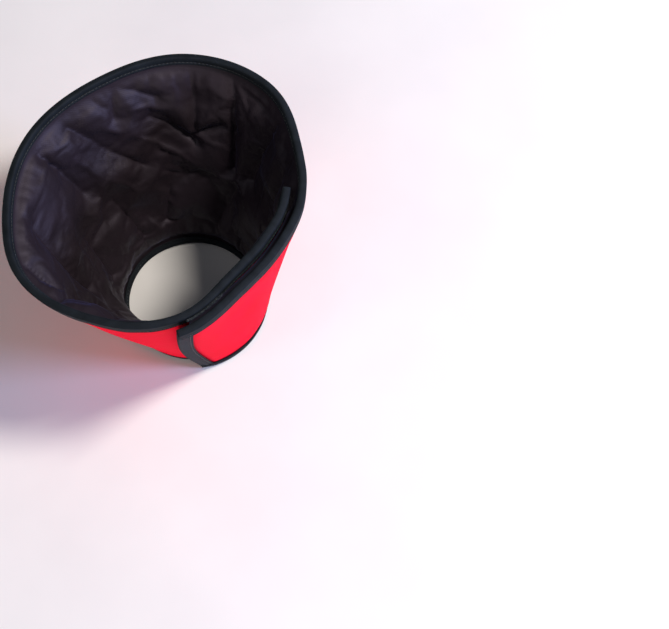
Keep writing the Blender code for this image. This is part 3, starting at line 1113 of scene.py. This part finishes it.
# %% Closure strips
STRIP_COLUMNS = 16
STRIP_ROWS = 90
STRIP_FROM_EDGE = BINDING_WIDTH + CLEARANCE + TAPE_INSET
WOVEN_GROUND = TAPE_THICKNESS * 0.6


def strip_grid(lap):
    """Turns and heights of a closure strip beside the flap end."""
    low = STRIP_FROM_EDGE / PANEL_WIDTH
    height = np.broadcast_to(np.linspace(low, 1.0 - low, STRIP_ROWS)[None, :],
                             (STRIP_COLUMNS, STRIP_ROWS))
    start = flap_turn(height)
    into = (STRIP_FROM_EDGE + TAPE_WIDTH * np.linspace(0.0, 1.0, STRIP_COLUMNS))[:, None]
    return lap + start + into * turn_per_metre(start, height), height


def patch(name, turn, height, face, flipped):
    """Open patch of cloth at a depth, the ground of strips and fibres."""
    points = place(turn, height, face)
    return grid_object(name, points[::-1] if flipped else points, *cloth_uv(turn, height),
                       FILAMENT)


def closure_strip(name, lap, face, side):
    """Strip with its woven ground, its free face towards the other strip."""
    return thicken(patch(name, *strip_grid(lap), face, False), WOVEN_GROUND, side)


def filament_arc(name, rise, span, radius):
    """Small arc of filament standing on its two feet."""
    rings = []
    for angle in np.linspace(0.0, pi, 6):
        centre = Vector((span / 2 * cos(angle), 0.0, rise * sin(angle)))
        outward = Vector((cos(angle), 0.0, sin(angle)))
        rings.append([centre + radius * (outward * cos(a) + Vector((0, sin(a), 0)))
                      for a in (0.0, 2 * pi / 3, 4 * pi / 3)])
    return tube_pattern(name, rings)


def pile_tree():
    tree, source, result = group_with_inputs("filament_pile", [
        ("Arc", "NodeSocketObject"), ("Density", "NodeSocketFloat"),
        ("Seed", "NodeSocketInt"), ("Filament", "NodeSocketMaterial")])
    out = source.outputs
    points = node(tree, "GeometryNodeDistributePointsOnFaces", Mesh=out["Geometry"],
                  Density=out["Density"], Seed=out["Seed"])
    spin = node(tree, "FunctionNodeRandomValue", {"data_type": "FLOAT"}, i2=0.0, i3=2 * pi,
                Seed=out["Seed"])
    around = node(tree, "FunctionNodeAxisAngleToRotation", Axis=(0.0, 0.0, 1.0),
                  Angle=spin.outputs[1])
    turned = node(tree, "FunctionNodeRotateRotation", {"rotation_space": "LOCAL"},
                  Rotation=points.outputs["Rotation"], Rotate_By=around.outputs[0])
    size = node(tree, "FunctionNodeRandomValue", {"data_type": "FLOAT"}, i2=0.5, i3=1.2,
                Seed=out["Seed"])
    arc = node(tree, "GeometryNodeObjectInfo", Object=out["Arc"])
    pile = node(tree, "GeometryNodeInstanceOnPoints", Points=points.outputs[0],
                Instance=arc.outputs["Geometry"], Rotation=turned.outputs[0],
                Scale=size.outputs[1])
    real = node(tree, "GeometryNodeRealizeInstances", Geometry=pile.outputs[0])
    dyed = node(tree, "GeometryNodeSetMaterial", Geometry=real.outputs[0], Material=out["Filament"])
    tree.links.new(dyed.outputs[0], result.inputs[0])
    return tree


PILE = pile_tree()


# %% Settings and helpers for the pile
LOOPS_PER_SQUARE_METRE = 520000.0
FRAYS_PER_SQUARE_METRE = 1300000.0
FRAY_RISE = 0.0014
FRAY_RADIUS = 0.00011


def pile_on(name, lap, face, side, arc, seed):
    """Pile that stands on a strip's free face."""
    ground = patch(name, *strip_grid(lap), face, side < 0)
    return grow(ground, PILE, Arc=arc, Density=LOOPS_PER_SQUARE_METRE, Seed=seed,
                Filament=FILAMENT)


def loose_fibres(name, turn, height, face, flipped):
    """Loose filaments that stand on a patch of cloth."""
    ground = patch(name, turn, height, face, flipped)
    loose = filament_arc("loose_filament", FRAY_RISE, 1.3 * FRAY_RISE, FRAY_RADIUS)
    grow(ground, PILE, Arc=loose, Density=FRAYS_PER_SQUARE_METRE, Seed=41, Filament=FRAYED)
    bpy.data.objects.remove(loose)
    return ground


hook_face, loop_face = INNER_LEG, OUTER_LEG
hook_strip = closure_strip("hook_strip", 0.0, hook_face, -1)
loop_strip = closure_strip("loop_strip", 360.0, loop_face, 1)

# %% Strips and their pile
small_hook = filament_arc("hook_arc", 0.0006, 0.0005, 0.00006)
soft_loop = filament_arc("loop_arc", 0.0009, 0.0007, 0.00005)
hook_pile = pile_on("hook_pile", 0.0, hook_face - WOVEN_GROUND, -1, small_hook, 31)
loop_pile = pile_on("loop_pile", 360.0, loop_face + WOVEN_GROUND, 1, soft_loop, 37)

# %% Loose fibres at the tucked end's corner and in the slot
CORNER_REACH = 0.009
CORNER_HEIGHTS = (0.905, 0.990)
FUZZ_TURNS = (362.5, 381.0)
FUZZ_HEIGHTS = (0.955, 0.990)

from_end, corner_height = np.meshgrid(np.linspace(0.0, CORNER_REACH, 8),
                                      np.linspace(*CORNER_HEIGHTS, 12), indexing="ij")
corner_turn = WRAP_TURN - from_end * turn_per_metre(np.full_like(from_end, WRAP_TURN),
                                                    corner_height)
frayed = loose_fibres("frayed_corner", corner_turn, corner_height, BINDING_INSIDE + 0.0002, True)
fuzz_turn, fuzz_height = np.meshgrid(np.linspace(*FUZZ_TURNS, 24),
                                     np.linspace(*FUZZ_HEIGHTS, 5), indexing="ij")
fuzz_face = BINDING_OUTSIDE - 0.6 * EDGE_PINCH
fuzz = loose_fibres("slot_fuzz", fuzz_turn, fuzz_height, fuzz_face, False)
for pattern in (small_hook, soft_loop):
    bpy.data.objects.remove(pattern)
print("pile faces:", len(hook_pile.data.polygons), len(loop_pile.data.polygons))

# %% [markdown]
# ## Studio
#
# A pale floor and four soft lights give the daylight of the photograph. The black inside
# needs a light that reaches in, or its puckers vanish, so the warm key stands high on the
# right and a bluish one, like open sky, shines across onto the left wall. A weak light
# from the left and a low one from the front fill the red outside.

# %% Floor and lights
def add_floor():
    material, tree, shader = new_material("pale_floor")
    place_in_object = node(tree, "ShaderNodeTexCoord").outputs["Object"]
    mottle = node(tree, "ShaderNodeTexNoise", Scale=9.0, Detail=3.0, Vector=place_in_object)
    tone = ramp(tree, mottle.outputs[0], [(0.3, "#e9e8e6"), (0.7, "#efeeec")])
    feed(tree, shader, tone, Roughness=0.85)
    bm = bmesh.new()
    bmesh.ops.create_grid(bm, x_segments=2, y_segments=2, size=3.0)
    mesh = bpy.data.meshes.new("floor")
    bm.to_mesh(mesh)
    bm.free()
    mesh.materials.append(material)
    add_object("floor", mesh)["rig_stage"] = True


def add_light(name, position, target, size, power, code):
    data = bpy.data.lights.new(name, "AREA")
    data.shape = "DISK"
    data.size = size
    data.energy = power
    data.color = linear(code)[:3]
    light = add_object(name, data)
    light.location = position
    direction = Vector(target) - Vector(position)
    light.rotation_euler = direction.to_track_quat("-Z", "Y").to_euler()


def add_world():
    world = bpy.data.worlds.new("soft_daylight")
    world.use_nodes = True
    background = world.node_tree.nodes["Background"]
    background.inputs["Color"].default_value = linear("#eef2ff")
    background.inputs["Strength"].default_value = 0.14
    bpy.context.scene.world = world


add_floor()
add_light("key", (0.95, 0.10, 1.65), (0.0, 0.0, 0.1), 0.35, 28.0, "#fff6ec")
add_light("sky", (1.65, -0.30, 0.85), (-0.05, 0.0, 0.15), 0.5, 25.0, "#bcc8ff")
add_light("left", (-1.20, -0.90, 1.45), (0.05, 0.0, 0.15), 0.5, 4.0, "#fff8f4")
add_light("front", (-0.20, -1.75, 0.45), (0.0, 0.0, 0.08), 0.5, 9.8, "#fff6f0")
add_world()
bpy.context.scene.view_settings.view_transform = "Standard"

# %% [markdown]
# ## What rides on what
#
# The collar has no joints, so every piece rides on the one body. The first eight stand
# for the imported solids that they cover.

# %% Attach the pieces to the body
RIDES = [
    (shell, "outer_shell", "shell_cloth"),
    (lining, "lining", "lining_cloth"),
    (rim_tape, "rim_binding", "binding_tape"),
    (neck_tape, "neck_binding", "binding_tape"),
    (flap_tape, "flap_end_binding", "binding_tape"),
    (tuck_tape, "tuck_end_binding", "binding_tape"),
    (hook_strip, "hook_tape", "closure_tape"),
    (loop_strip, "loop_tape", "closure_tape"),
    (rim_stitches, None, "binding_tape"),
    (neck_stitches, None, "binding_tape"),
    (flap_stitches, None, "binding_tape"),
    (tuck_stitches, None, "binding_tape"),
    (hook_pile, None, "closure_tape"),
    (loop_pile, None, "closure_tape"),
    (frayed, None, "closure_tape"),
    (fuzz, None, "closure_tape"),
]
for piece, stands_for, slot in RIDES:
    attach(piece, "root")
    if stands_for:
        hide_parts(stands_for)


# %% Flat sizes
def wrap_length(height):
    """Length of the wrap at a height, in metres."""
    points = place(rim_turns, height, 0.0)
    return float(np.linalg.norm(np.diff(points, axis=0), axis=1).sum())


SPARE_CLOTH = 1.05
wrap_length(0.5) * SPARE_CLOTH
wrap_length(1.0)
wrap_length(0.0)
print("flat lengths at rim, middle and neck:",
      [round(wrap_length(height), 3) for height in (1.0, 0.5, 0.0)])
print("triangles:", sum(len(p.vertices) - 2 for piece, *_ in RIDES for p in piece.data.polygons))
